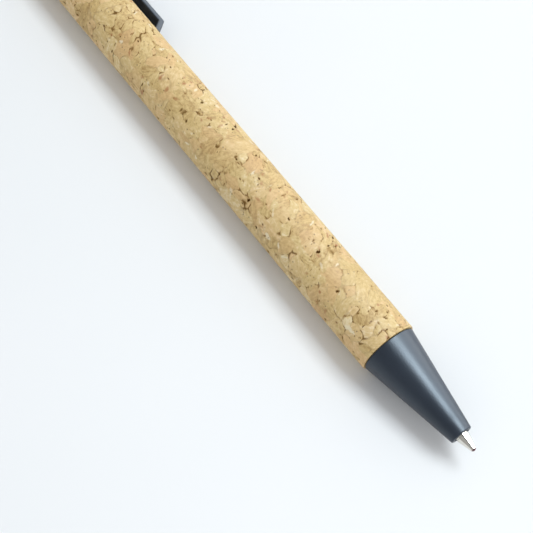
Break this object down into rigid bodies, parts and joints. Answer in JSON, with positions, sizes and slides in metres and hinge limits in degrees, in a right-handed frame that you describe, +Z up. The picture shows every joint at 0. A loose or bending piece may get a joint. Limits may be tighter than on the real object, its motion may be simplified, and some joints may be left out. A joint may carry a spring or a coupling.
{
  "type": "retractable ballpoint pen",
  "caption": "Retractable ballpoint pen with a cork covered barrel, plastic nose cone, cap, clip and push button.",
  "frame": {"origin": "on the pen's axis at the front shoulder of the barrel, where the cork meets the nose cone", "axes": "+X along the pen towards the writing point, +Z up with the pen lying on a table, the clip leaning down on the +Y side"},
  "size_m": [0.1393, 0.0135, 0.0104],
  "materials": {
    "cork": "matt pressed cork granules, faintly waxed",
    "slate_plastic": "satin moulded plastic",
    "white_plastic": "plain moulded plastic, inside the pen",
    "tube_plastic": "thin see-through plastic tube",
    "nickel_silver": "bright turned metal",
    "spring_steel": "bright drawn wire",
    "ball_carbide": "polished ball wetted with ink",
    "ink": "dark paste ink"
  },
  "bodies": {
    "barrel": {"cork_sleeve": "cork", "barrel_liner": "white_plastic", "cam_housing": "white_plastic", "top_cap": "slate_plastic", "return_spring": "spring_steel"},
    "button": {"push_button": "slate_plastic", "cam_plunger": "white_plastic"},
    "refill": {"refill_tube": "tube_plastic", "ink_column": "ink", "refill_point": "nickel_silver", "writing_ball": "ball_carbide"},
    "rotor": {"cam_rotor": "slate_plastic"},
    "nose": {"nose_cone": "slate_plastic"},
    "clip": {"clip": "slate_plastic"}
  },
  "joints": [
    {"name": "button_press", "type": "slide", "parent": "barrel", "child": "button", "axis": [1, 0, 0], "range_m": [-0.005, 0.0013]},
    {"name": "refill_slide", "type": "slide", "parent": "barrel", "child": "refill", "axis": [1, 0, 0], "range_m": [-0.005, 0.0013], "deforming": ["return_spring"]},
    {"name": "rotor_index", "type": "hinge", "parent": "refill", "child": "rotor", "pos_m": [-0.09, 0, 0], "axis": [1, 0, 0], "continuous": true},
    {"name": "nose_cone_pull", "type": "slide", "parent": "barrel", "child": "nose", "axis": [1, 0, 0], "range_m": [0, 0.03]},
    {"name": "clip_flex", "type": "hinge", "parent": "barrel", "child": "clip", "pos_m": [-0.1071, 0.00456, -0.00178], "axis": [0, 0.3634, 0.9316], "range_deg": [0, 4]}
  ],
  "couplings": [
    {"joint": "refill_slide", "follows": "button_press", "ratio": 1}
  ]
}
